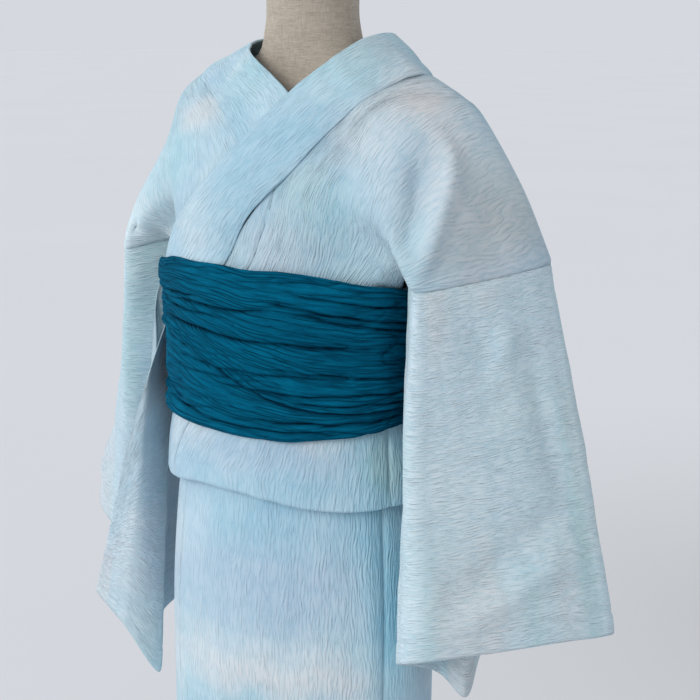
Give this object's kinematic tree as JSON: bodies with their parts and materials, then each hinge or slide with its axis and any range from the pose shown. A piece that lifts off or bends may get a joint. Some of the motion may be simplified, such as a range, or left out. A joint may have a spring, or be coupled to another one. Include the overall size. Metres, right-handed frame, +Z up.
{
  "type": "yukata robe on dress form",
  "caption": "Cotton yukata robe, left front over right, with a soft wound belt and tucked waist, hanging sleeves, on a limbless dress form with pole and round foot.",
  "frame": {"origin": "on the floor, on the axis of the stand, at the centre of the foot's underside", "axes": "+Z up; -Y the way the wearer faces; +X towards the wearer's left"},
  "size_m": [0.6315, 0.34, 1.4924],
  "materials": {
    "robe cotton": "matte, fine crinkle along the warp",
    "belt crepe": "matte crinkled",
    "form linen": "matte plain weave",
    "stand metal": "satin",
    "cap wood": "satin"
  },
  "bodies": {
    "root": {"left_body": "robe cotton", "right_body": "robe cotton", "left_overlap": "robe cotton", "right_overlap": "robe cotton", "collar": "robe cotton", "left_sleeve": "robe cotton", "right_sleeve": "robe cotton", "belt_lower_turn": "belt crepe", "belt_upper_turn": "belt crepe", "belt_knot": "belt crepe", "belt_tail_left": "belt crepe", "belt_tail_right": "belt crepe", "dress_form": "form linen", "neck_cap": "cap wood", "pole": "stand metal", "foot": "stand metal"}
  },
  "joints": []
}
